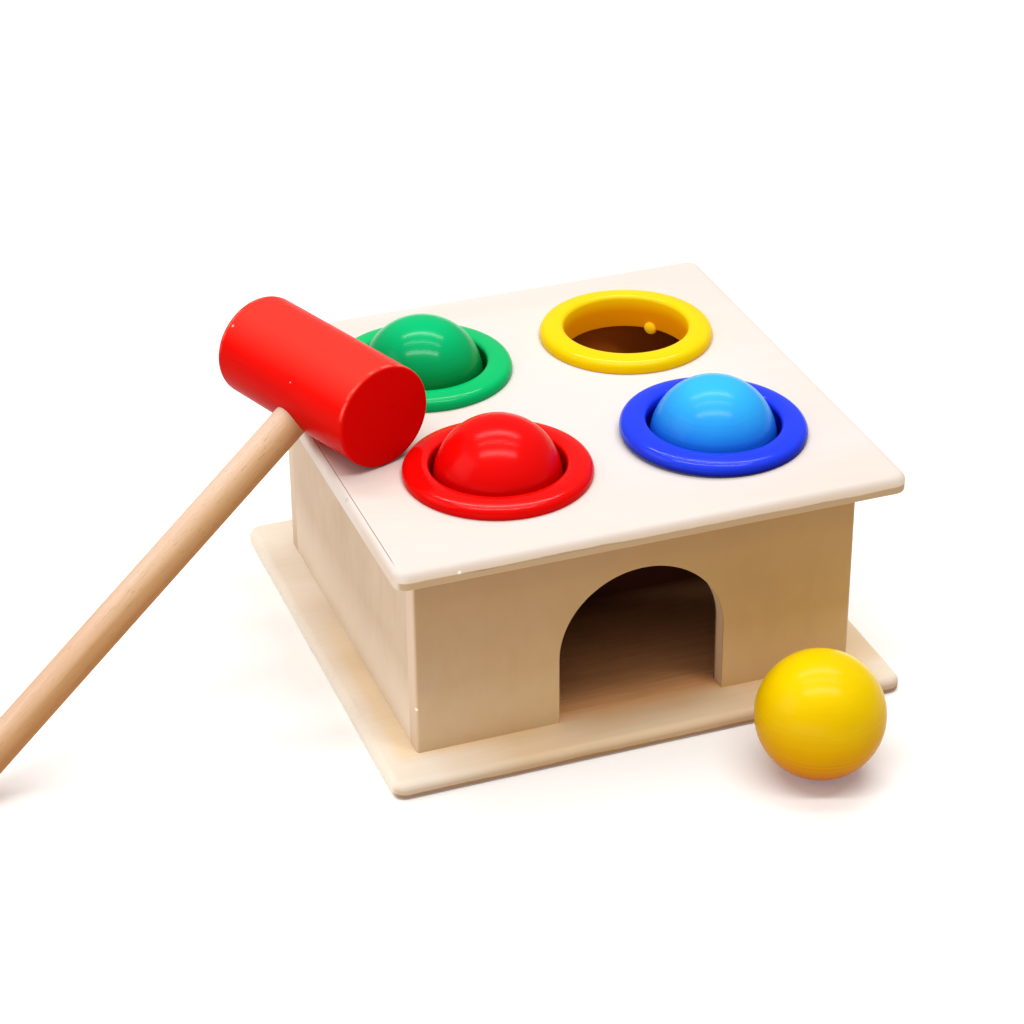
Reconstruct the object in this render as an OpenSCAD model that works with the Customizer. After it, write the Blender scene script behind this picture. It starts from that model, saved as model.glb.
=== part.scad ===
// Ball hammering bench, a toy for small children.
// A plywood box stands on a base board. Its top board holds four moulded rings, and a ball
// sits on three small lugs in each ring until the mallet drives it through. The ball drops
// onto the base board and rolls out of the arched doorway.
// One ball has rolled out, and the mallet leans on the box with its handle on the table.
// Millimetres, Z up. The origin is on the table, under the middle of the base board.

/* [Base board] */
// Width of the base board, left to right
base_w = 143.8; // [132:0.2:166]
// Depth of the base board, front to back
base_d = 141.2; // [124:0.2:166]
// Thickness of the base board
base_t = 4.2; // [3.6:0.1:8]

/* [Top board] */
// Width of the top board, left to right
top_w = 139.8; // [128:0.2:160]
// Depth of the top board, front to back
top_d = 140.6; // [124:0.2:160]
// Thickness of the top board
top_t = 5.2; // [3.6:0.1:5.6]

/* [Board edges] */
// Radius of the rounded upper edges of both boards
board_edge_r = 2; // [0.5:0.1:2.6]
// Radius of the eased lower edges of both boards
board_low_r = 0.8; // [0.3:0.1:1.5]
// Radius of both boards' corners, seen from above
board_corner_r = 3.5; // [3:0.5:12]

/* [Walls] */
// Width of the box of walls, outside
box_w = 123.2; // [114:0.2:128]
// Depth of the box of walls, outside
box_d = 114.6; // [108:0.2:122]
// Height of the walls
wall_h = 57.6; // [54:0.2:80]
// Thickness of the walls
wall_t = 5.5; // [4.6:0.1:7]
// Radius of the upright outer corners
wall_corner_r = 1; // [0.3:0.1:2]
// How far the box of walls sits to the right of the boards' middle
box_shift_x = -0.3; // [-2:0.1:2]
// How far the box of walls sits behind the boards' middle
box_shift_y = -0.6; // [-2:0.1:2]

/* [Doorway] */
// Width of the doorway in the front wall
door_w = 46.6; // [38:0.2:56]
// Height of the doorway's straight sides, up to where its round head starts
door_side_h = 19.6; // [10:0.2:26]
// How far the doorway lies to the right of the box's middle
door_shift = 1.2; // [-4:0.1:4]

/* [Balls] */
// Radius of a ball
ball_r = 17; // [14:0.1:19]
// Place of the loose ball to the right of the boards' middle
loose_ball_x = 34.9; // [0:0.1:60]
// Gap between the base board's front edge and the loose ball
loose_ball_gap = 7.7; // [2:0.1:40]

/* [Rings] */
// Gap between a ball and the bore of its ring
bore_gap = 0.9; // [0.5:0.1:1.5]
// Wall of the sleeve that goes through the top board
sleeve_t = 1.4; // [1:0.1:2]
// Depth of the sleeve below the top board's face
sleeve_depth = 6.1; // [5:0.1:8]
// Width of the flange, from the bore outwards
flange_w = 7; // [5:0.1:9]
// Least gap between the flanges of neighbouring rings
ring_gap = 1; // [0.5:0.1:4]
// Height of the flange above the top board
flange_h = 3.7; // [2.6:0.1:4.5]
// Radius of the flange's outer edge
rim_r = 2.6; // [1:0.1:2.6]
// Radius of the flange's inner edge
lip_r = 1.2; // [0.5:0.1:2]
// Gap between a sleeve and the side walls
ring_side_gap = 6.4; // [3:0.1:9]
// Gap between a sleeve and the front and back walls
ring_end_gap = 1.7; // [1.2:0.1:6]
// Least gap between a sleeve and any wall
least_wall_gap = 0.5; // [0.3:0.1:1]
// How far the set of rings lies to the right of the box's middle
ring_shift_x = 1.6; // [-2.5:0.1:2.5]
// How far the set of rings lies behind the box's middle
ring_shift_y = 0.6; // [-1:0.1:1]

/* [Lugs] */
// Radius of a lug's round nose
lug_r = 2.4; // [1:0.1:2.8]
// How much the lugs narrow the way to less than the ball
lug_grip = 0.4; // [0.2:0.05:0.6]
// Depth of the lugs' middle below the top board's face
lug_depth = 5.8; // [4:0.1:7]
// Direction of the first lug, in degrees from the right
lug_turn = 44; // [0:1:119]

/* [Mallet] */
// Radius of the mallet's head
head_r = 14.1; // [11:0.1:17]
// Length of the mallet's head
head_len = 55; // [44:0.5:66]
// Radius of the rounded edges of the head
head_edge_r = 0.8; // [0.3:0.1:2]
// Radius of the handle
handle_r = 4.8; // [3.5:0.05:6]
// Reach of the handle, from the middle of the head to its free end
handle_reach = 144.5; // [120:0.5:190]
// How far the handle goes into the head past its middle
tenon_past = 6; // [2:0.5:8]
// How far the handle sits from the head's middle, towards the near end
handle_shift = 1.5; // [-3:0.1:3]
// Radius of the handle's rounded free end
handle_end_r = 1.6; // [0.5:0.1:3]
// Turn of the mallet, seen from above
mallet_turn = 19.9; // [10:0.1:30]
// Gap between the red ring and the middle of the head's near end
mallet_ring_gap = 4.4; // [4:0.1:12]
// Direction from the red ring to the head's near end, in degrees from the right
mallet_bearing = 152; // [140:1:165]
// Most that the head's near end lies inside the top board's left edge
mallet_inset = 15; // [10:0.1:18]

/* [Fixings] */
// Radius of a base screw's shank
screw_r = 1.25; // [1:0.05:1.6]
// Radius of a base screw's countersunk head
screw_head_r = 2.4; // [2:0.05:2.6]
// Length of a base screw
screw_len = 16; // [12:0.5:22]
// Radius of a glued dowel
dowel_r = 1.5; // [1:0.05:1.8]
// Depth of a dowel in the end or the edge of a wall
dowel_in_edge = 8; // [5:0.5:12]
// Depth of a dowel in the face of a wall
dowel_in_face = 3.6; // [2:0.1:4]
// Depth of a top dowel in the top board
dowel_in_top = 2.6; // [1.5:0.1:3]
// Distance of a screw or top dowel from the end of its wall
fixing_inset = 20; // [14:0.5:22]
// Height of the upper and lower corner dowels from the walls' top and bottom edges
corner_dowel_inset = 15; // [8:0.5:18]

/* [Fits] */
// Gap round a screw, a dowel, a sleeve or a tenon in its hole
fit_gap = 0.05; // [0.02:0.01:0.1]
// Gap between a ball and its lugs
seat_gap = 0.1; // [0.05:0.05:0.2]
// Gap under a piece that only lies on another
rest_gap = 0.2; // [0.1:0.05:0.3]

/* [Hidden] */
$fn = 96;

// How far a cutting solid runs past the face that it opens
overcut = 1;
// Least flat band left on a board's rounded edge
edge_land = 0.2;
// Spare depth at the bottom of a blind hole
hole_spare = 0.3;
// Lugs in a ring
lug_count = 3;
// Facets of the drawn bore where a lug meets it, so that a small lug keeps its volume
fine_facets = 480;

// Heights of the walls' top edge and of the top board's face
wall_top_z = base_t + wall_h;
top_z = wall_top_z + top_t;

// Ring sizes, from the ball outwards
bore_r = ball_r + bore_gap;
sleeve_r = bore_r + sleeve_t;
hole_r = sleeve_r + fit_gap;

// Half the distance between two rings. Sleeves keep their gap to the walls, but in a small box they
// move out to the least gap there, to make room for the flanges
function ring_half(room, gap, shift) =
    min(max(room - gap, bore_r + flange_w + ring_gap / 2), room - abs(shift) - least_wall_gap);

// Middles of the box of walls and of the four rings
box_mid = [box_shift_x, box_shift_y];
ring_mid = box_mid + [ring_shift_x, ring_shift_y];
ring_half_x = ring_half(box_w / 2 - wall_t - sleeve_r, ring_side_gap, ring_shift_x);
ring_half_y = ring_half(box_d / 2 - wall_t - sleeve_r, ring_end_gap, ring_shift_y);
red_spot = ring_mid + [-ring_half_x, -ring_half_y];
blue_spot = ring_mid + [ring_half_x, -ring_half_y];
green_spot = ring_mid + [-ring_half_x, ring_half_y];
yellow_spot = ring_mid + [ring_half_x, ring_half_y];

// The flange keeps clear of the neighbouring rings, and its rounded edges fit within it
flange_r = min(bore_r + flange_w, min(ring_half_x, ring_half_y) - ring_gap / 2);
flange_span = flange_r - bore_r;
rim = min(rim_r, flange_span / 2);
lip = min(lip_r, flange_span / 2);

// Distance of a lug's middle from the ring's axis, and the height of a ball that sits on it
lug_seat_r = ball_r - lug_grip + lug_r;
seat_rise = sqrt(pow(ball_r + lug_r + seat_gap, 2) - pow(lug_seat_r, 2));
seat_z = top_z - lug_depth + seat_rise;
loose_spot = [loose_ball_x, -base_d / 2 - loose_ball_gap - ball_r, ball_r];

// The mallet's head lies on the top board, clear of the red ring and close to the left edge
near_ring_x = red_spot.x + (flange_r + mallet_ring_gap) * cos(mallet_bearing);
near_end_x = min(near_ring_x, mallet_inset - top_w / 2);
near_end_y = red_spot.y + (flange_r + mallet_ring_gap) * sin(mallet_bearing);
head_x = near_end_x - head_len / 2 * sin(mallet_turn);
head_y = near_end_y + head_len / 2 * cos(mallet_turn);
head_z = top_z + rest_gap + head_r;

// The handle slopes down until the lower edge of its rounded end meets the table
end_long = handle_reach - handle_end_r;
end_wide = handle_r - handle_end_r;
end_rise = head_z - rest_gap - handle_end_r;
handle_drop = asin(end_rise / norm([end_long, end_wide])) - atan2(end_wide, end_long);

// Screws rise through the base board, and dowels drop from the top board, at the same spots
wall_mid_x = (box_w - wall_t) / 2;
wall_mid_y = (box_d - wall_t) / 2;
end_fix_x = box_w / 2 - fixing_inset;
side_fix_y = box_d / 2 - wall_t - fixing_inset;
fixing_spots = [
    for (side = [-1, 1], end = [-1, 1])
        each [
            box_mid + [side * end_fix_x, end * wall_mid_y],
            box_mid + [side * wall_mid_x, end * side_fix_y]
        ]
];
corner_heights = [base_t + corner_dowel_inset, wall_top_z - corner_dowel_inset];
dowel_start_y = box_d / 2 - wall_t - dowel_in_edge;
screw_head_h = screw_head_r - screw_r;
screw_sink = rest_gap;
screw_tip = 2 * screw_r;

cream_ply = "#F3E6CC";
beige_ply = "#DDC3A0";
beech = "#D3A36E";
red_paint = "#E01F1A";
green_paint = "#0FA54A";
blue_paint = "#1FA0EE";
yellow_paint = "#FBD20A";
red_plastic = "#E3141B";
green_plastic = "#0FAF52";
blue_plastic = "#2A3FE6";
yellow_plastic = "#FFE015";
zinc = "#B9BCC0";

// Quarter of a disc, in the corner between the two axes
module quarter_disc(r) {
    intersection() {
        circle(r = r);
        square(r);
    }
}

// Half section of a board at its edge, from inside the corner out to the rounded edge
module board_edge(thick) {
    r = min(board_edge_r, thick - board_low_r - edge_land);
    square([board_corner_r - r, thick]);
    translate([board_corner_r - r, board_low_r]) square([r, thick - r - board_low_r]);
    translate([board_corner_r - r, thick - r]) quarter_disc(r);
    square([board_corner_r - board_low_r, board_low_r]);
    translate([board_corner_r - board_low_r, board_low_r]) mirror([0, 1]) quarter_disc(board_low_r);
}

// Board with rounded corners and a rounded edge all the way round, its underside at zero
module board(wide, deep, thick) {
    flat_w = wide - 2 * board_corner_r;
    flat_d = deep - 2 * board_corner_r;
    translate([-flat_w / 2, -flat_d / 2, 0]) cube([flat_w, flat_d, thick]);
    for (side = [0, 180]) {
        rotate(side) translate([flat_w / 2, flat_d / 2, 0])
            rotate([90, 0, 0]) linear_extrude(flat_d) board_edge(thick);
        rotate(side) translate([-flat_w / 2, flat_d / 2, 0])
            rotate([90, 0, 90]) linear_extrude(flat_w) board_edge(thick);
        rotate(side) translate([flat_w / 2, flat_d / 2, 0])
            rotate_extrude(angle = 90) board_edge(thick);
        rotate(side) translate([-flat_w / 2, flat_d / 2, 0])
            rotate(90) rotate_extrude(angle = 90) board_edge(thick);
    }
}

// Room for one base screw, from below the base board up into a wall
module screw_hole() {
    translate([0, 0, -overcut]) cylinder(r = screw_head_r + fit_gap, h = overcut + screw_sink);
    translate([0, 0, screw_sink])
        cylinder(r1 = screw_head_r + fit_gap, r2 = screw_r + fit_gap, h = screw_head_h);
    cylinder(r = screw_r + fit_gap, h = screw_len + hole_spare);
}

// Room for every screw and dowel of the box
module fixing_holes() {
    for (spot = fixing_spots) {
        translate(spot) screw_hole();
        translate([spot.x, spot.y, wall_top_z - dowel_in_edge - hole_spare])
            cylinder(r = dowel_r + fit_gap, h = dowel_in_edge + dowel_in_top + 2 * hole_spare);
    }
    corner_dowel_places()
        translate([0, 0, -hole_spare])
            cylinder(r = dowel_r + fit_gap, h = dowel_in_edge + dowel_in_face + 2 * hole_spare);
}

// Every corner dowel's place, standing on its end in a side wall and pointing out of the box
module corner_dowel_places() {
    for (side = [-1, 1], end = [-1, 1], z = corner_heights)
        translate([box_mid.x + side * wall_mid_x, box_mid.y + end * dowel_start_y, z])
            rotate([-90 * end, 0, 0]) children();
}

// Front or back wall, full width, with rounded upright corners on its outer face
module end_wall(facing) {
    flat_w = box_w - 2 * wall_corner_r;
    difference() {
        translate(box_mid) rotate(facing) translate([0, -box_d / 2, base_t]) linear_extrude(wall_h) {
            translate([-box_w / 2, wall_corner_r]) square([box_w, wall_t - wall_corner_r]);
            translate([-flat_w / 2, 0]) square([flat_w, wall_corner_r]);
            translate([flat_w / 2, wall_corner_r]) mirror([0, 1]) quarter_disc(wall_corner_r);
            translate([-flat_w / 2, wall_corner_r]) rotate(180) quarter_disc(wall_corner_r);
        }
        fixing_holes();
    }
}

// Left or right wall, fitted between the front and back walls
module side_wall(side) {
    side_len = box_d - 2 * wall_t;
    difference() {
        translate([box_mid.x + side * wall_mid_x - wall_t / 2, box_mid.y - side_len / 2, base_t])
            cube([wall_t, side_len, wall_h]);
        fixing_holes();
    }
}

// Arched doorway, as a solid that cuts the front wall
module doorway() {
    translate([box_mid.x + door_shift, box_mid.y - box_d / 2 - overcut, base_t]) {
        translate([-door_w / 2, 0, -overcut])
            cube([door_w, wall_t + 2 * overcut, door_side_h + overcut]);
        translate([0, 0, door_side_h]) rotate([-90, 0, 0])
            cylinder(d = door_w, h = wall_t + 2 * overcut);
    }
}

module base_board() {
    color(cream_ply) difference() {
        board(base_w, base_d, base_t);
        fixing_holes();
    }
}

module front_wall() {
    color(beige_ply) difference() {
        end_wall(0);
        doorway();
    }
}

module back_wall() {
    color(beige_ply) end_wall(180);
}

module left_wall() {
    color(beige_ply) side_wall(-1);
}

module right_wall() {
    color(beige_ply) side_wall(1);
}

module top_board() {
    color(cream_ply) difference() {
        translate([0, 0, wall_top_z]) board(top_w, top_d, top_t);
        for (spot = [red_spot, green_spot, blue_spot, yellow_spot])
            translate([spot.x, spot.y, wall_top_z - overcut])
                cylinder(r = hole_r, h = top_t + 2 * overcut);
        fixing_holes();
    }
}

// Half section of a ring: the sleeve, and a flange with a rounded rim and inner lip
module ring_section() {
    translate([bore_r, -sleeve_depth]) square([sleeve_t, sleeve_depth]);
    translate([bore_r, 0]) square([lip, flange_h - lip]);
    translate([bore_r + lip, flange_h - lip]) mirror([1, 0]) quarter_disc(lip);
    translate([bore_r + lip, 0]) square([flange_span - lip - rim, flange_h]);
    translate([flange_r - rim, 0]) square([rim, flange_h - rim]);
    translate([flange_r - rim, flange_h - rim]) quarter_disc(rim);
}

// Moulded ring, pressed into its hole until the flange lies on the top board
module ring(spot) {
    translate([spot.x, spot.y, top_z]) rotate_extrude() ring_section();
}

// Three round noses moulded on the sleeve's inner wall, which give way to a driven ball
module ring_lugs(spot) {
    for (i = [0 : lug_count - 1])
        translate([spot.x, spot.y, top_z - lug_depth]) intersection() {
            rotate(lug_turn + i * 360 / lug_count) translate([lug_seat_r, 0, 0]) sphere(r = lug_r);
            cylinder(r = bore_r, h = 2 * (lug_r + overcut), center = true, $fn = fine_facets);
        }
}

module red_ring() {
    color(red_plastic) ring(red_spot);
}

module green_ring() {
    color(green_plastic) ring(green_spot);
}

module blue_ring() {
    color(blue_plastic) ring(blue_spot);
}

module yellow_ring() {
    color(yellow_plastic) ring(yellow_spot);
}

module red_ring_lugs() {
    color(red_plastic) ring_lugs(red_spot);
}

module green_ring_lugs() {
    color(green_plastic) ring_lugs(green_spot);
}

module blue_ring_lugs() {
    color(blue_plastic) ring_lugs(blue_spot);
}

module yellow_ring_lugs() {
    color(yellow_plastic) ring_lugs(yellow_spot);
}

// Ball that sits on the lugs of a ring
module seated_ball(spot) {
    translate([spot.x, spot.y, seat_z]) sphere(r = ball_r);
}

module red_ball() {
    color(red_paint) seated_ball(red_spot);
}

module green_ball() {
    color(green_paint) seated_ball(green_spot);
}

module blue_ball() {
    color(blue_paint) seated_ball(blue_spot);
}

module yellow_ball() {
    color(yellow_paint) translate(loose_spot) sphere(r = ball_r);
}

// The mallet's place: the head's axis along Y and the handle along negative X
module mallet_place() {
    translate([head_x, head_y, head_z]) rotate([0, -handle_drop, mallet_turn]) children();
}

// Half section of a round bar that stands on zero, with its upper edge rounded
module bar_section(r, long, edge) {
    square([r, long - edge]);
    translate([0, long - edge]) square([r - edge, edge]);
    translate([r - edge, long - edge]) quarter_disc(edge);
}

module mallet_head() {
    color(red_paint) mallet_place() difference() {
        for (end = [-90, 90])
            rotate([end, 0, 0]) rotate_extrude() bar_section(head_r, head_len / 2, head_edge_r);
        translate([-head_r - overcut, -handle_shift, 0]) rotate([0, 90, 0])
            cylinder(r = handle_r + fit_gap, h = head_r + overcut + tenon_past + fit_gap);
    }
}

module mallet_handle() {
    color(beech) mallet_place() translate([tenon_past, -handle_shift, 0]) rotate([0, -90, 0])
        rotate_extrude() bar_section(handle_r, tenon_past + handle_reach, handle_end_r);
}

// Countersunk wood screw with a cross recess, its head just inside the base board's underside
module base_screw() {
    slot_w = screw_r / 2;
    slot_len = 2 * screw_r;
    difference() {
        rotate_extrude() polygon([
            [0, screw_sink], [screw_head_r, screw_sink], [screw_r, screw_sink + screw_head_h],
            [screw_r, screw_len - screw_tip], [0, screw_len]
        ]);
        for (turn = [0, 90])
            rotate(turn) translate([-slot_len / 2, -slot_w / 2, 0])
                cube([slot_len, slot_w, screw_sink + screw_head_h / 2]);
    }
}

module base_screws() {
    color(zinc) for (spot = fixing_spots) translate(spot) base_screw();
}

module corner_dowels() {
    color(beech) corner_dowel_places() cylinder(r = dowel_r, h = dowel_in_edge + dowel_in_face);
}

module top_dowels() {
    color(beech) for (spot = fixing_spots)
        translate([spot.x, spot.y, wall_top_z - dowel_in_edge])
            cylinder(r = dowel_r, h = dowel_in_edge + dowel_in_top);
}

base_board();
front_wall();
back_wall();
left_wall();
right_wall();
top_board();
red_ring();
green_ring();
blue_ring();
yellow_ring();
red_ring_lugs();
green_ring_lugs();
blue_ring_lugs();
yellow_ring_lugs();
red_ball();
green_ball();
blue_ball();
yellow_ball();
mallet_head();
mallet_handle();
base_screws();
corner_dowels();
top_dowels();
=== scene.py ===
import math

import bmesh
import bpy
from mathutils import Matrix, Vector


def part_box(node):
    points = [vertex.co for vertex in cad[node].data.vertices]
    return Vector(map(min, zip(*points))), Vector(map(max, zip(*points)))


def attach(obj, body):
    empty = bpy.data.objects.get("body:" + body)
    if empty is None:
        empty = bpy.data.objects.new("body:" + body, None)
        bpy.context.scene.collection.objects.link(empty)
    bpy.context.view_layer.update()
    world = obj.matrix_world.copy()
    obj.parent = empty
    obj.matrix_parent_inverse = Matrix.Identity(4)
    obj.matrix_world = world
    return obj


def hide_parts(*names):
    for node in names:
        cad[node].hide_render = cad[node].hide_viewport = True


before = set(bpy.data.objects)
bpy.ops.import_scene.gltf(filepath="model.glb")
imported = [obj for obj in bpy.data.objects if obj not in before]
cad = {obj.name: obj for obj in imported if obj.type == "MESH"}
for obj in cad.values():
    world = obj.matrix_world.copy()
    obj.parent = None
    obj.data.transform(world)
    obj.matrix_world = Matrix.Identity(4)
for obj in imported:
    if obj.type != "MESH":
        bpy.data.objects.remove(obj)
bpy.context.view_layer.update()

# Base board
# A square of pale birch plywood that the whole toy stands on. Its upper edges are rounded over
# with a router and its lower edges only eased. Balls land on it and roll out over its front.


def tint(code):
    """Linear colour of a paint or wood, from the usual six-digit web colour."""
    parts = [int(code[i : i + 2], 16) / 255 for i in (1, 3, 5)]
    return [p / 12.92 if p <= 0.04045 else ((p + 0.055) / 1.055) ** 2.4 for p in parts] + [1]


def put(tree, kind, inputs=None, **settings):
    """Adds a shader node, with its settings, and links or sets its inputs."""
    made = tree.nodes.new("ShaderNode" + kind)
    for key, value in settings.items():
        setattr(made, key, value)
    for key, value in (inputs or {}).items():
        if isinstance(value, bpy.types.NodeSocket):
            tree.links.new(value, made.inputs[key])
        else:
            made.inputs[key].default_value = value
    return made


def blended(tree, share, first, second, how="MIX"):
    """Mixes two colours by a share and returns the colour socket."""
    made = put(tree, "Mix", {0: share, 6: first, 7: second}, data_type="RGBA", blend_type=how)
    return made.outputs[2]


def sums(tree, how, first, second=0.0, clamp=False):
    """One step of arithmetic, as a value socket."""
    return put(tree, "Math", {0: first, 1: second}, operation=how, use_clamp=clamp).outputs[0]


def product(tree, *values):
    """Several values multiplied together, as a value socket."""
    total = values[0]
    for value in values[1:]:
        total = sums(tree, "MULTIPLY", total, value)
    return total


def ramp(tree, value, start=0.0, end=1.0, first=0.0, last=1.0):
    """A value that goes from first to last while another goes from start to end."""
    return put(tree, "MapRange", {0: value, 1: start, 2: end, 3: first, 4: last}).outputs[0]


def axes(tree, place):
    """The three coordinates of a place, as value sockets."""
    return tuple(put(tree, "SeparateXYZ", {0: place}).outputs)


def stain(tree, colour, code, *masks, share=1.0, how="MIX"):
    """Lays one tint over a colour where all the masks meet, at a share of its strength."""
    strength = masks if share == 1.0 else masks + (share,)
    return blended(tree, product(tree, *strength), colour, tint(code), how)


def shader_group(name, takes, gives):
    """An empty node group with named sockets, and its inner ends."""
    tree = bpy.data.node_groups.new(name, "ShaderNodeTree")
    for socket, kind in takes.items():
        tree.interface.new_socket(socket, in_out="INPUT", socket_type="NodeSocket" + kind)
    for socket in gives:
        tree.interface.new_socket(socket, in_out="OUTPUT", socket_type="NodeSocketFloat")
    return tree, tree.nodes.new("NodeGroupInput").outputs, tree.nodes.new("NodeGroupOutput").inputs


def use(tree, group, inputs):
    """Places a node group in a material and returns its outputs."""
    return put(tree, "Group", inputs, node_tree=group).outputs


def finish_of(name, **constants):
    """A new material: its tree, its shader and the object's own coordinates."""
    made = bpy.data.materials.new(name)
    made.use_nodes = True
    tree = made.node_tree
    shader = tree.nodes["Principled BSDF"]
    for key, value in constants.items():
        shader.inputs[key.replace("_", " ")].default_value = value
    return made, tree, shader, put(tree, "TexCoord").outputs["Object"]


def bumped(tree, shader, height, deep, strength):
    """Feeds a height in metres into the shader's normal."""
    bump = put(tree, "Bump", {"Height": height, "Distance": deep, "Strength": strength})
    tree.links.new(bump.outputs[0], shader.inputs["Normal"])


def surface(tree, shader, colour, texture, smooth, dull, deep, strength):
    """Joins a colour to the shader, and a texture that drives its roughness and its bump."""
    tree.links.new(colour, shader.inputs["Base Color"])
    tree.links.new(ramp(tree, texture, first=smooth, last=dull), shader.inputs["Roughness"])
    bumped(tree, shader, texture, deep, strength)


def dress(material, *names):
    """Gives a finish to solids that keep their own shape."""
    for name in names:
        cad[name].data.materials.clear()
        cad[name].data.materials.append(material)


# Wood grain: short fine streaks, and slow changes of shade across the sheet
grain, take, give = shader_group(
    "wood grain", {"Vector": "Vector", "Fine": "Vector", "Broad": "Vector"}, ["Streaks", "Drift"]
)
for socket, rate, detail in (("Streaks", "Fine", 5), ("Drift", "Broad", 2)):
    scaled = put(grain, "VectorMath", {0: take["Vector"], 1: take[rate]}, operation="MULTIPLY")
    noise = put(
        grain,
        "TexNoise",
        {"Vector": scaled.outputs[0], "Scale": 1, "Detail": detail, "Roughness": 0.62, "Distortion": 0.7},
    )
    grain.links.new(ramp(grain, noise.outputs[0], 0.3, 0.7), give[socket])

# Ply edge: a thin ragged glue line at one height, and everything below it as the next ply
ply_edge, take, give = shader_group(
    "ply edge", {"Vector": "Vector", "Height": "Float", "Half": "Float"}, ["Line", "Below"]
)
ragged = put(ply_edge, "TexNoise", {"Vector": take["Vector"], "Scale": 30, "Detail": 5, "Roughness": 0.6})
spread = sums(ply_edge, "SUBTRACT", ragged.outputs[0], 0.5)
waver = product(ply_edge, spread, product(ply_edge, take["Half"], 7.0))
x, y, z = axes(ply_edge, take["Vector"])
above = sums(ply_edge, "SUBTRACT", sums(ply_edge, "ADD", z, waver), take["Height"])
away = sums(ply_edge, "DIVIDE", sums(ply_edge, "ABSOLUTE", above), take["Half"])
line = ramp(ply_edge, away, 0.5, 1.3, 1.0, 0.0)
broken = put(ply_edge, "TexNoise", {"Vector": take["Vector"], "Scale": 55, "Detail": 2})
gaps = ramp(ply_edge, broken.outputs[0], 0.3, 0.5)
ply_edge.links.new(product(ply_edge, line, gaps), give["Line"])
ply_edge.links.new(ramp(ply_edge, above, 0.0001, -0.0001), give["Below"])

# Inside of the box: painted shade, darkening the bare wood more the further it lies from the doorway
inner_left = (-0.0569, -0.0565)
inner_right = (0.0563, 0.0559)
inner_back = (0.0519, 0.0514)
inside, take, give = shader_group(
    "inside of the box", {"Vector": "Vector", "Low": "Float", "High": "Float"}, ["Shade"]
)
x, y, z = axes(inside, take["Vector"])
left_in = ramp(inside, x, *inner_left)
right_in = ramp(inside, x, *inner_right)
back_in = ramp(inside, y, *inner_back)
depth = ramp(inside, y, take["Low"], take["High"])
inside.links.new(product(inside, left_in, right_in, back_in, depth), give["Shade"])

base_finish, tree, shader, spot = finish_of("base plywood", Specular_IOR_Level=0.03)
wood = use(tree, grain, {"Vector": spot, "Fine": (45, 1100, 900), "Broad": (9, 70, 60)})
x, y, z = axes(tree, spot)
colour = blended(tree, wood["Drift"], tint("#EDD6B4"), tint("#E3C7A2"))
# Painted light: the base board's left and right strips are made paler, as if lit more strongly
left_end = ramp(tree, x, -0.036, -0.06)
right_end = ramp(tree, x, 0.052, 0.071)
ends = sums(tree, "ADD", left_end, right_end)
colour = stain(tree, colour, "#FDF2E2", ends, share=0.85)
# Painted shadow: the left wall's soft shadow on the strip beside it, given as a yellower tint
in_wall_shadow = ramp(tree, x, -0.0688, -0.0655)
beside = ramp(tree, y, -0.062, -0.057)
not_back = ramp(tree, y, 0.03, -0.01)
colour = stain(tree, colour, "#F8DCAE", in_wall_shadow, beside, not_back, share=0.65)
colour = stain(tree, colour, "#B98F60", wood["Streaks"], share=0.08)
# Painted shade: the strip in front of the doorway is darkened
door_left = ramp(tree, x, -0.024, -0.01)
door_right = ramp(tree, x, 0.027, 0.012)
shaded_before_door = ramp(tree, y, -0.067, -0.0595)
colour = stain(tree, colour, "#F7E7D8", door_left, door_right, shaded_before_door, how="MULTIPLY")
at_front = ramp(tree, y, -0.0672, -0.0695)
# Painted shade: the rounded front edge darkens as it turns down toward the floor
rounding_shade = ramp(tree, z, 0.0042, 0.0022)
colour = stain(tree, colour, "#A67C52", rounding_shade, at_front, share=0.62)
# The lower ply along the front, darker, and deepened by painted shade near the floor
edge = use(tree, ply_edge, {"Vector": spot, "Height": 0.0013, "Half": 0.0002})
colour = stain(tree, colour, "#8F6844", edge["Below"], at_front, share=0.75)
# Painted shade inside the box: orange just behind the doorway, streaked with the grain, then dark brown
# further in
doorway_inside_shade = use(tree, inside, {"Vector": spot, "Low": -0.0595, "High": -0.053})["Shade"]
colour = stain(tree, colour, "#FCBB7F", doorway_inside_shade)
shaded_streaks = product(tree, wood["Streaks"], 0.24)
colour = stain(tree, colour, "#9C4E22", doorway_inside_shade, shaded_streaks)
deep_inside_shade = use(tree, inside, {"Vector": spot, "Low": -0.042, "High": -0.003})["Shade"]
colour = stain(tree, colour, "#38160A", deep_inside_shade)
surface(tree, shader, colour, wood["Streaks"], smooth=0.42, dull=0.6, deep=0.00006, strength=0.5)
dress(base_finish, "base_board")

# Walls of the box
# Plywood with upright grain. The front and back walls cover the side walls' ends, and the front
# one has an arched doorway cut through it. All four are glued and dowelled at the corners.

wall_fine, wall_broad = (700, 700, 60), (110, 110, 60)
corner_knock = (-0.0617, -0.0576, 0.0177)

# Chip: a small rough-edged spot at one place, where a knock has left another shade
chip, take, give = shader_group(
    "chip", {"Vector": "Vector", "Place": "Vector", "Reach": "Float"}, ["Share"]
)
apart = put(chip, "VectorMath", {0: take["Vector"], 1: take["Place"]}, operation="DISTANCE")
rough_edge = put(chip, "TexNoise", {"Vector": take["Vector"], "Scale": 1800, "Detail": 2})
uneven = product(chip, apart.outputs["Value"], sums(chip, "ADD", rough_edge.outputs[0], 0.5))
away = sums(chip, "DIVIDE", uneven, take["Reach"])
chip.links.new(ramp(chip, away, 0.8, 1.2, 1.0, 0.0), give["Share"])

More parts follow.
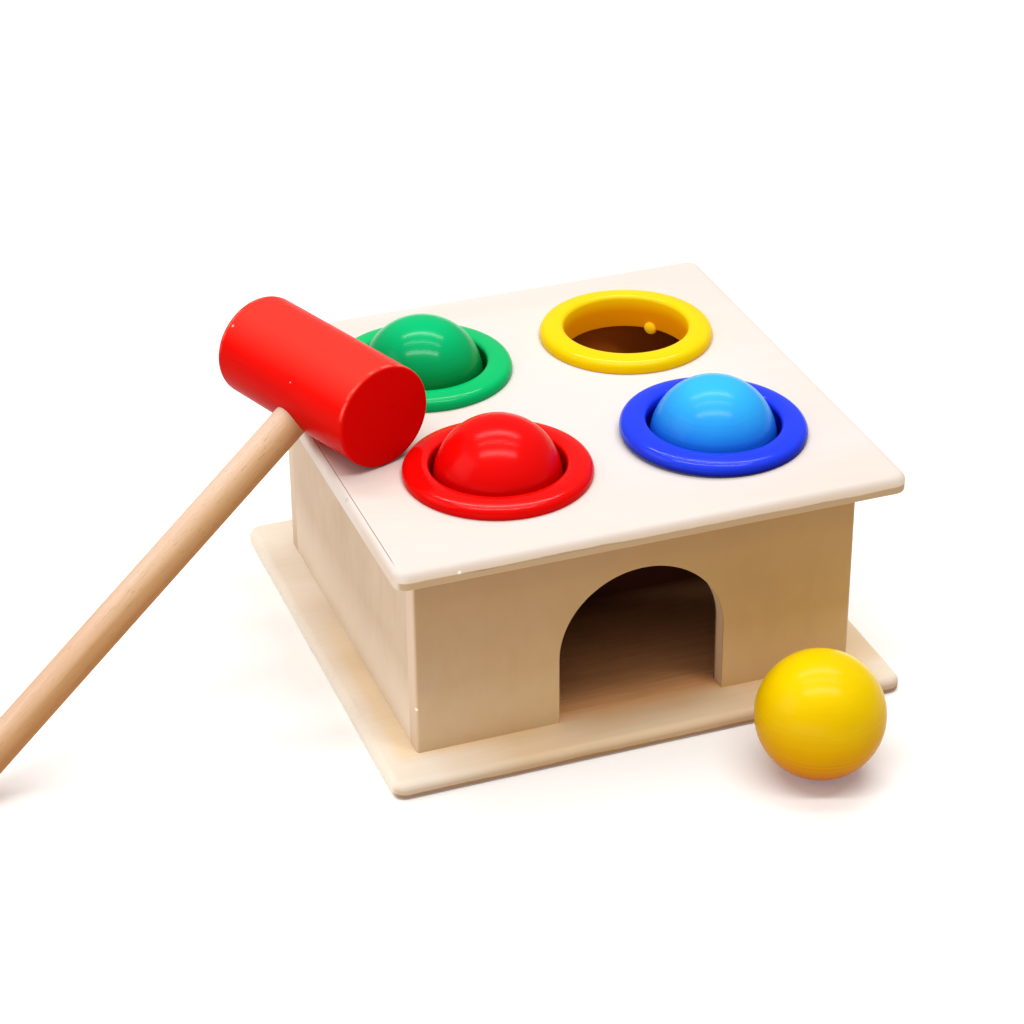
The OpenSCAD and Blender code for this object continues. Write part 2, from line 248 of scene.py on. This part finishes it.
end_finish, tree, shader, spot = finish_of("front plywood", Specular_IOR_Level=0.08)
wood = use(tree, grain, {"Vector": spot, "Fine": wall_fine, "Broad": wall_broad})
x, y, z = axes(tree, spot)
golden = ramp(tree, x, -0.06, 0.045)
colour = blended(tree, golden, tint("#C6A786"), tint("#D7AC66"))
colour = stain(tree, colour, "#BE9662", wood["Drift"], share=0.3)
colour = stain(tree, colour, "#8A6238", wood["Streaks"], share=0.04)
# Painted shade: the wall darkens toward the top, beneath the top board's overhang
shade_toward_top = ramp(tree, z, 0.012, 0.05)
colour = stain(tree, colour, "#A88258", shade_toward_top, share=0.7)
# Painted light: the wall is paler near its foot, as if lit from the floor
painted_foot_light = ramp(tree, z, 0.024, 0.008)
colour = stain(tree, colour, "#E6CBA2", painted_foot_light, share=0.3)
# Painted shadow: a darker band just beneath the top board
shadow_under_top = ramp(tree, z, 0.046, 0.0595)
colour = stain(tree, colour, "#E7E9F0", shadow_under_top, how="MULTIPLY")
sawn_in = ramp(tree, y, -0.0574, -0.057)
sawn_out = ramp(tree, y, -0.0525, -0.053)
colour = stain(tree, colour, "#E0BC98", sawn_in, sawn_out, share=0.8)
outward = sums(tree, "ABSOLUTE", sums(tree, "ADD", x, 0.0003))
end_grain = ramp(tree, outward, 0.0609, 0.0616)
colour = stain(tree, colour, "#DFC4AB", end_grain)
# Painted shade: the front wall's inner face dark brown, the back wall's inner face orange-brown
front_inner = use(tree, inside, {"Vector": spot, "Low": -0.0535, "High": -0.0523})["Shade"]
colour = stain(tree, colour, "#1E0A03", front_inner)
back_inner = use(tree, inside, {"Vector": spot, "Low": 0.045, "High": 0.05})["Shade"]
colour = stain(tree, colour, "#C0661A", back_inner)
knock = use(tree, chip, {"Vector": spot, "Place": corner_knock, "Reach": 0.00045})
colour = stain(tree, colour, "#FBEFD8", knock["Share"])
surface(tree, shader, colour, wood["Streaks"], smooth=0.45, dull=0.62, deep=0.00004, strength=0.3)
dress(end_finish, "front_wall", "back_wall")

side_finish, tree, shader, spot = finish_of("side plywood", Specular_IOR_Level=0.08)
wood = use(tree, grain, {"Vector": spot, "Fine": wall_fine, "Broad": wall_broad})
x, y, z = axes(tree, spot)
colour = blended(tree, wood["Drift"], tint("#D8C0A6"), tint("#D2B89C"))
colour = stain(tree, colour, "#A8815B", wood["Streaks"], share=0.05)
# Painted light: the wall is paler near its foot, as if lit from the floor
painted_foot_light = ramp(tree, z, 0.026, 0.009)
colour = stain(tree, colour, "#FBEAD4", painted_foot_light, share=0.65)
# Painted shade: the side walls' inner faces dark brown, turning orange-brown toward the back wall
inner_face = use(tree, inside, {"Vector": spot, "Low": -0.054, "High": -0.052})["Shade"]
colour = stain(tree, colour, "#220B03", inner_face)
near_back = use(tree, inside, {"Vector": spot, "Low": 0.02, "High": 0.045})["Shade"]
colour = stain(tree, colour, "#9A4A16", near_back)
surface(tree, shader, colour, wood["Streaks"], smooth=0.45, dull=0.62, deep=0.00004, strength=0.3)
dress(side_finish, "left_wall", "right_wall")

# Screws and dowels
# Small countersunk steel screws hold the base board to the walls from below. Beech dowels,
# glued in, join the walls at the corners and fix the top board. Only the screws' heads show.

screw_finish, tree, shader, spot = finish_of("zinc plate", Metallic=1.0)
patchy = put(tree, "TexNoise", {"Vector": spot, "Scale": 900, "Detail": 3}).outputs[0]
colour = blended(tree, patchy, tint("#B4B7BA"), tint("#D6D2C6"))
tree.links.new(colour, shader.inputs["Base Color"])
tree.links.new(ramp(tree, patchy, first=0.25, last=0.45), shader.inputs["Roughness"])
dress(screw_finish, "base_screws")

dowel_finish, tree, shader, spot = finish_of("dowel beech", Roughness=0.7)
wood = use(tree, grain, {"Vector": spot, "Fine": (900, 900, 900), "Broad": (120, 120, 120)})
colour = blended(tree, wood["Streaks"], tint("#DDB685"), tint("#B98A56"))
tree.links.new(colour, shader.inputs["Base Color"])
bumped(tree, shader, wood["Streaks"], deep=0.00005, strength=0.5)
dress(dowel_finish, "corner_dowels", "top_dowels")

# Top board
# The palest sheet of plywood, routed round like the base board and bored for the rings. Its
# rounded edge turns tan on the way down to a broken glue line, and the ply below is darker.

white_middle = (0.012, 0, 0.067)
left_knock = (-0.0698, -0.0288, 0.0663)
front_knock = (-0.0535, -0.0702, 0.0646)

top_finish, tree, shader, spot = finish_of("top plywood", Specular_IOR_Level=0.1)
wood = use(tree, grain, {"Vector": spot, "Fine": (45, 1100, 900), "Broad": (8, 50, 50)})
x, y, z = axes(tree, spot)
colour = blended(tree, wood["Drift"], tint("#E7DBD4"), tint("#E1D4C9"))
apart = put(tree, "VectorMath", {0: spot, 1: white_middle}, operation="DISTANCE")
middle = ramp(tree, apart.outputs["Value"], 0.075, 0.03)
colour = stain(tree, colour, "#E4DFDA", middle, share=0.9)
colour = stain(tree, colour, "#CDB08A", wood["Streaks"], share=0.06)
left_rim = ramp(tree, x, -0.0682, -0.0702)
low_rim = ramp(tree, z, 0.0668, 0.065)
near_corner = ramp(tree, y, -0.036, -0.05)
colour = stain(tree, colour, "#D2AE86", left_rim, low_rim, near_corner, share=0.5)
knock = use(tree, chip, {"Vector": spot, "Place": left_knock, "Reach": 0.0007})
colour = stain(tree, colour, "#B09A80", knock["Share"], share=0.35)
astray = sums(tree, "ABSOLUTE", sums(tree, "ADD", x, 0.0685))
seam = ramp(tree, astray, 0.00006, 0.00013, 1.0, 0.0)
upper = ramp(tree, z, 0.0664, 0.0667)
not_front = ramp(tree, y, -0.0665, -0.062)
colour = stain(tree, colour, "#5E4630", seam, upper, not_front, share=0.8)
tanned = ramp(tree, z, 0.0668, 0.0645)
off_left = ramp(tree, x, -0.0705, -0.066)
colour = stain(tree, colour, "#DAC3AB", tanned, off_left)
core = use(tree, ply_edge, {"Vector": spot, "Height": 0.0641, "Half": 0.00024})
at_front = ramp(tree, y, -0.0688, -0.0696)
colour = stain(tree, colour, "#A88556", core["Below"], at_front, share=0.75)
clear_left = ramp(tree, x, -0.056, -0.05)
fading = ramp(tree, x, -0.03, 0.005, 0.45, 0.12)
colour = stain(tree, colour, "#5E4028", core["Line"], at_front, clear_left, fading)
knock = use(tree, chip, {"Vector": spot, "Place": front_knock, "Reach": 0.0005})
colour = stain(tree, colour, "#F6ECE4", knock["Share"])
surface(tree, shader, colour, wood["Streaks"], smooth=0.42, dull=0.58, deep=0.00004, strength=0.4)
dress(top_finish, "top_board")

# Rings
# Moulded in glossy plastic, each with a sleeve that is pressed through the top board and a
# crowned flange that lies on it. Three small lugs inside the sleeve carry the ball.

ring_places = {
    "red": (-0.0291, -0.0308),
    "blue": (0.0317, -0.0308),
    "green": (-0.0291, 0.0308),
    "yellow": (0.0317, 0.0308),
}
ring_colours = {
    "red": ("#EC0805", "#B00000"),
    "blue": ("#2340EE", "#07148C"),
    "green": ("#06C46E", "#046B2C"),
    "yellow": ("#F4D604", "#FFA200"),
}
ring_growth = {"red": 1.004, "blue": 1.008, "green": 1.004, "yellow": 0.984}
rim_shade_share = {"red": 0.35, "blue": 1.0, "green": 0.4, "yellow": 0.35}
bore_start = {"red": 0.0022, "blue": 0.0022, "green": 0.0022, "yellow": -0.0012}
bore_glow = {"red": 0, "blue": 0, "green": 0, "yellow": 0.3}
ring_lift = {"red": 0, "blue": 1.9, "green": 0, "yellow": 0}
lift_axis, lift_hinge = (1, 1, 0), (0.0176, -0.0176, 0)
ring_top = 0.067
upper_glow, lug_glow = (1, 0.5, 0, 1), (1, 0.5, 0.02, 1)

# Radius and height in millimetres of the section's corners, and how softly some are rounded
per_metre = 1000
ring_section = [
    (17.9, -6.1),
    (17.9, 3.4),
    (20.3, 3.9),
    (24.9, 2.9),
    (24.9, 0.15),
    (19.3, 0.02),
    (19.3, -6.1),
]
ring_softness = {
    (24.9, 2.9): 1.9,
    (20.3, 3.9): 1.3,
    (17.9, 3.4): 1.0,
    (24.9, 0.15): 0.12,
    (17.9, -6.1): 0.3,
}
ring_steps, round_steps = 128, 6
tiny = 1e-6
ring_crease = math.radians(50)

# Lathe lines: faint rings left by a mould or a turning tool, by the distance from an axis
lines_per_metre = 1300.0
lathe, take, give = shader_group(
    "lathe lines", {"Distance": "Float", "Vector": "Vector"}, ["Lines", "Patches"]
)
step = product(lathe, take["Distance"], lines_per_metre)
lines = put(lathe, "TexNoise", {"W": step, "Scale": 1, "Detail": 3}, noise_dimensions="1D")
lathe.links.new(lines.outputs[0], give["Lines"])
patches = put(lathe, "TexNoise", {"Vector": take["Vector"], "Scale": 90, "Detail": 2})
lathe.links.new(patches.outputs[0], give["Patches"])

for name, (ring_x, ring_y) in ring_places.items():
    grow = ring_growth[name]
    shape = bmesh.new()
    corners = [shape.verts.new((r * grow / per_metre, 0, h / per_metre)) for r, h in ring_section]
    sides = [shape.edges.new((corners[i - 1], corners[i])) for i in range(len(corners))]
    bmesh.ops.spin(
        shape,
        geom=corners + sides,
        cent=(0, 0, 0),
        axis=(0, 0, 1),
        angle=math.tau,
        steps=ring_steps,
        use_merge=True,
    )
    bmesh.ops.remove_doubles(shape, verts=shape.verts, dist=tiny)
    bmesh.ops.recalc_face_normals(shape, faces=shape.faces)
    for (r, h), soft in ring_softness.items():
        hoop = [
            e
            for e in shape.edges
            if all(
                abs(v.co.xy.length - r * grow / per_metre) < tiny and abs(v.co.z - h / per_metre) < tiny
                for v in e.verts
            )
        ]
        bmesh.ops.bevel(
            shape,
            geom=hoop,
            offset=soft / per_metre,
            segments=round_steps,
            profile=0.5,
            affect="EDGES",
            material=-1,
        )
    tilt = Matrix.Rotation(math.radians(ring_lift[name]), 3, Vector(lift_axis))
    bmesh.ops.rotate(shape, verts=shape.verts, cent=lift_hinge, matrix=tilt)
    bmesh.ops.translate(shape, verts=shape.verts, vec=(ring_x, ring_y, ring_top))
    for f in shape.faces:
        f.smooth = True
    mesh = bpy.data.meshes.new(name + "_ring_moulding")
    shape.to_mesh(mesh)
    shape.free()
    mesh.set_sharp_from_angle(angle=ring_crease)
    moulding = bpy.data.objects.new(name + "_ring_moulding", mesh)
    bpy.context.scene.collection.objects.link(moulding)

    plastic, tree, shader, spot = finish_of(
        name + " plastic", Specular_IOR_Level=0.04, Coat_Roughness=0.14, Emission_Strength=bore_glow[name]
    )
    offset = put(tree, "VectorMath", {0: spot, 1: (ring_x, ring_y, 0)}, operation="SUBTRACT")
    flat = put(tree, "VectorMath", {0: offset.outputs[0], 1: (1, 1, 0)}, operation="MULTIPLY")
    radius = put(tree, "VectorMath", {0: flat.outputs[0]}, operation="LENGTH").outputs["Value"]
    x, y, z = axes(tree, spot)
    marks = use(tree, lathe, {"Distance": radius, "Vector": spot})
    full, deep = (tint(code) for code in ring_colours[name])
    bore = ramp(tree, radius, 0.0187 * grow, 0.0181 * grow)
    lug = ramp(tree, radius, 0.01785 * grow, 0.0176 * grow)
    down = ramp(tree, z, ring_top + 0.0037, ring_top + 0.0022)
    # Painted shade: the bore takes the deep colour below its lip
    deeper = ramp(tree, z, ring_top + 0.0037, ring_top + bore_start[name])
    within = sums(tree, "SUBTRACT", product(tree, bore, down), product(tree, lug, 0.75), clamp=True)
    bore_shade = product(tree, within, deeper)
    near_top = sums(tree, "SUBTRACT", within, bore_shade, clamp=True)
    # Painted light: the bore and lugs glow, brightest near the lip; only the yellow ring has a glow
    # strength above zero
    lit = blended(tree, within, (0, 0, 0, 1), [c / 3 for c in deep])
    lit = blended(tree, near_top, lit, upper_glow)
    lit = blended(tree, lug, lit, lug_glow)
    tree.links.new(lit, shader.inputs["Emission Color"])
    # Painted shade: the lower outer slope of the flange darkens toward the deep colour
    low = ramp(tree, z, ring_top + 0.003, ring_top + 0.0005)
    rim = ramp(tree, radius, 0.0225 * grow, 0.0248 * grow)
    share = sums(tree, "MAXIMUM", product(tree, low, rim, rim_shade_share[name]), bore_shade)
    share = sums(tree, "ADD", share, product(tree, marks["Patches"], 0.1), clamp=True)
    tree.links.new(blended(tree, share, full, deep), shader.inputs["Base Color"])
    rough = ramp(tree, marks["Lines"], first=0.11, last=0.2)
    matt = sums(tree, "ADD", rough, product(tree, within, 0.5))
    tree.links.new(matt, shader.inputs["Roughness"])
    crown = ramp(tree, z, ring_top + 0.002, ring_top + 0.0032)
    tree.links.new(product(tree, crown, 0.38), shader.inputs["Coat Weight"])
    bumped(tree, shader, marks["Lines"], deep=0.00005, strength=0.3)
    mesh.materials.append(plastic)
    dress(plastic, name + "_ring_lugs")
    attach(moulding, "bench")
    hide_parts(name + "_ring")

# Balls
# Turned from wood and dipped in glossy paint, so faint rings of the lathe show through it.
# Three sit on the lugs of their rings and the yellow one has rolled out onto the table.

ball_colours = {
    "red": ("#EE0C09", "#D40000"),
    "blue": ("#38BAF2", "#003EDC"),
    "green": ("#00C074", "#006A00"),
    "yellow": ("#F0CC00", "#AA4600"),
}
ball_shine = {"red": 0.2, "blue": 0.2, "green": 0.26, "yellow": 0.17}
ball_dull = {"red": 0.19, "blue": 0.17, "green": 0.14, "yellow": 0.22}
seated_shade_span, loose_shade_span = (0.0165, 0.001), (0, 0.004)

for name, colours in ball_colours.items():
    paint, tree, shader, spot = finish_of(
        name + " paint", Specular_IOR_Level=0.02, Coat_Roughness=ball_dull[name]
    )
    x, y, z = axes(tree, spot)
    marks = use(tree, lathe, {"Distance": z, "Vector": spot})
    full, deep = (tint(code) for code in colours)
    low, high = (corner[2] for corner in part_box(name + "_ball"))
    from_low, from_high = loose_shade_span if name == "yellow" else seated_shade_span
    # Painted shade: each ball's paint turns to its deep colour toward the bottom
    low_shade = ramp(tree, z, high - from_high, low + from_low)
    share = sums(tree, "ADD", low_shade, product(tree, marks["Patches"], 0.1), clamp=True)
    streaked = product(tree, sums(tree, "SUBTRACT", marks["Lines"], 0.5), 0.28)
    share = sums(tree, "ADD", share, product(tree, streaked, low_shade), clamp=True)
    colour = blended(tree, share, full, deep)
    surface(tree, shader, colour, marks["Lines"], smooth=0.16, dull=0.26, deep=0.00007, strength=0.3)
    middle = (low + high) / 2
    glossy = ramp(tree, z, middle, middle + 0.01)
    tree.links.new(product(tree, glossy, ball_shine[name]), shader.inputs["Coat Weight"])
    dress(paint, name + "_ball")

# Mallet
# A turned wooden head painted red, with a bare beech handle glued into a blind hole in its side.
# The head lies on the top board and the handle slopes down past the left edge to the table.

mallet_turn = math.radians(19.9)
handle_drop = math.radians(32.51)
mallet_frame = Matrix.Rotation(mallet_turn, 3, "Z") @ Matrix.Rotation(-handle_drop, 3, "Y")
mallet_inverse = mallet_frame.inverted()
head_middle = Vector((-0.0643, 0.0088, 0.0813))
half_head = 0.0275
head_knocks = {(-0.0823, 0.029, 0.0911): 0.00035, (-0.075, 0.0003, 0.0868): 0.0002}

head_paint, tree, shader, spot = finish_of("mallet paint", Specular_IOR_Level=0.01)
turned = put(tree, "Mapping", {"Vector": spot, "Rotation": mallet_inverse.to_euler("XYZ")}).outputs[0]
wood = use(tree, grain, {"Vector": turned, "Fine": (900, 25, 900), "Broad": (90, 14, 90)})
colour = blended(tree, wood["Drift"], tint("#F0120A"), tint("#E80905"))
from_middle = put(tree, "VectorMath", {0: spot, 1: head_middle}, operation="SUBTRACT").outputs[0]
x, y, rise = axes(tree, from_middle)
# Painted highlight: a lighter band along the top of the head
lit_crest = ramp(tree, rise, 0.006, 0.0125)
colour = stain(tree, colour, "#F84034", lit_crest, share=0.8)
# Painted shade: the lower half of the head darker
shaded_belly = ramp(tree, rise, 0.0065, -0.006)
colour = stain(tree, colour, "#A81008", shaded_belly, share=0.85)
along = put(tree, "VectorMath", {0: from_middle, 1: mallet_frame.col[1]}, operation="DOT_PRODUCT")
reach = sums(tree, "ABSOLUTE", along.outputs["Value"])
# Painted shade: both end faces darker red
shaded_end_face = ramp(tree, reach, half_head - 0.0006, half_head - 0.0001)
colour = stain(tree, colour, "#CE0604", shaded_end_face)
# A paler ring round each end face, partly wear on the paint, broken up by noise, and partly a painted
# highlight, so only on the upper half
rim_in = ramp(tree, reach, half_head - 0.0016, half_head - 0.001)
rim_out = ramp(tree, reach, half_head - 0.0003, half_head - 0.0006)
upper = ramp(tree, rise, 0.001, 0.006)
patchy = put(tree, "TexNoise", {"Vector": spot, "Scale": 420, "Detail": 3})
wear_and_glint = ramp(tree, patchy.outputs[0], 0.4, 0.6)
colour = stain(tree, colour, "#FF8474", rim_in, rim_out, upper, wear_and_glint, share=0.45)
for place, wide in head_knocks.items():
    knock = use(tree, chip, {"Vector": spot, "Place": place, "Reach": wide})
    colour = stain(tree, colour, "#F6B4A2", knock["Share"])
surface(tree, shader, colour, wood["Streaks"], smooth=0.24, dull=0.36, deep=0.00003, strength=0.2)
dress(head_paint, "mallet_head")

handle_axis = mallet_inverse @ head_middle - Vector((0, 0.0015, 0))
handle_low = (0, -0.668, -0.728)

handle_wood, tree, shader, spot = finish_of("handle beech", Specular_IOR_Level=0.03)
turned = put(tree, "Mapping", {"Vector": spot, "Rotation": mallet_inverse.to_euler("XYZ")}).outputs[0]
wood = use(tree, grain, {"Vector": turned, "Fine": (110, 2600, 2600), "Broad": (14, 160, 160)})
colour = blended(tree, wood["Drift"], tint("#E7C6AD"), tint("#DAB08F"))
x, y, z = axes(tree, turned)
near_head = ramp(tree, x, handle_axis.x - 0.09, handle_axis.x - 0.014)
colour = stain(tree, colour, "#F4DCC8", near_head, share=0.6)
from_axis = put(tree, "VectorMath", {0: turned, 1: handle_axis}, operation="SUBTRACT").outputs[0]
lower = put(tree, "VectorMath", {0: from_axis, 1: handle_low}, operation="DOT_PRODUCT").outputs["Value"]
# Painted shade: the handle darkens toward its lower side
golden = ramp(tree, lower, -0.003, 0.0008)
colour = stain(tree, colour, "#DECEAD", golden, how="MULTIPLY")
underside_shade = ramp(tree, lower, 0.0005, 0.0036)
colour = stain(tree, colour, "#DFCBB3", underside_shade, how="MULTIPLY")
colour = stain(tree, colour, "#B98A5C", wood["Streaks"], share=0.25)
fleck = use(tree, grain, {"Vector": turned, "Fine": (330, 4200, 4200), "Broad": (40, 300, 300)})
dark = ramp(tree, fleck["Streaks"], 0.82, 0.95)
colour = stain(tree, colour, "#7D5029", dark, share=0.75)
surface(tree, shader, colour, wood["Streaks"], smooth=0.5, dull=0.68, deep=0.00008, strength=0.6)
dress(handle_wood, "mallet_handle")

# Studio
# A pale seamless floor, soft light from above, and the camera where the photograph was taken,
# to the left of the doorway and about thirty degrees up.

floor_half, floor_gap = 30, 0.0003
near_glow, far_glow = (0.12, 0.12, 0.12, 1), (0.75, 0.75, 0.75, 1)
glow_from, glow_to = 0.6, 1.5

shape = bmesh.new()
bmesh.ops.create_grid(shape, x_segments=1, y_segments=1, size=floor_half)
bmesh.ops.translate(shape, verts=shape.verts, vec=(0, 0, -floor_gap))
mesh = bpy.data.meshes.new("floor")
shape.to_mesh(mesh)
shape.free()
floor = bpy.data.objects.new("floor", mesh)
bpy.context.scene.collection.objects.link(floor)
paper, tree, shader, spot = finish_of(
    "white paper", Base_Color=tint("#FBFAF8"), Roughness=0.9, Emission_Strength=1.0
)
distance = put(tree, "VectorMath", {0: spot}, operation="LENGTH").outputs["Value"]
glow = blended(tree, ramp(tree, distance, glow_from, glow_to), near_glow, far_glow)
tree.links.new(glow, shader.inputs["Emission Color"])
mesh.materials.append(paper)

sky = bpy.data.worlds.new("studio")
sky.use_nodes = True
sky.node_tree.nodes["Background"].inputs["Color"].default_value = (1, 0.99, 0.98, 1)
sky.node_tree.nodes["Background"].inputs["Strength"].default_value = 0.3
bpy.context.scene.world = sky

# Place, width and depth in metres, and power in watts, of each lamp
lamps = {
    "front strip": ((-0.13, -0.37, 1.2), (1.3, 0.14), 8.0),
    "middle strip": ((0.02, 0.05, 1.25), (1.3, 0.1), 3.0),
    "back strip": ((0.16, 0.45, 1.2), (1.3, 0.14), 7.5),
    "side fill": ((-1.3, 0.1, 0.7), (0.9, 0.9), 3.0),
    "low card": ((-0.34, -0.44, 0.06), (0.6, 0.1), 0.4),
}
lamp_target = Vector((0, 0, 0.05))
strip_run = Vector((0.94, -0.34, 0))
for name, (place, (wide, deep), power) in lamps.items():
    lamp = bpy.data.lights.new(name, "AREA")
    lamp.shape = "RECTANGLE"
    lamp.size, lamp.size_y = wide, deep
    lamp.energy = power
    aim = (lamp_target - Vector(place)).normalized()
    along = strip_run if "strip" in name else Vector((-aim.y, aim.x, 0))
    across = aim.cross(along).normalized()
    lit = bpy.data.objects.new(name, lamp)
    lit.matrix_world = Matrix((across.cross(-aim), across, -aim)).transposed().to_4x4()
    lit.location = place
    bpy.context.scene.collection.objects.link(lit)

azimuth, elevation, roll = math.radians(-19.861), math.radians(30.27), math.radians(-0.55)
camera_place = (-0.2428, -0.6329, 0.428)
back = Vector(
    (
        math.sin(azimuth) * math.cos(elevation),
        -math.cos(azimuth) * math.cos(elevation),
        math.sin(elevation),
    )
)
right = (-back).cross(Vector((0, 0, 1))).normalized()
up = right.cross(-back)
lean_right = math.cos(roll) * right + math.sin(roll) * up
lean_up = math.cos(roll) * up - math.sin(roll) * right
view = bpy.data.cameras.new("photograph")
view.sensor_width = 36
view.lens = 99.47
camera = bpy.data.objects.new("photograph", view)
stand = Matrix((lean_right, lean_up, back)).transposed().to_4x4()
stand.translation = camera_place
camera.matrix_world = stand
bpy.context.scene.collection.objects.link(camera)
bpy.context.scene.camera = camera
bpy.context.scene.view_settings.view_transform = "Standard"
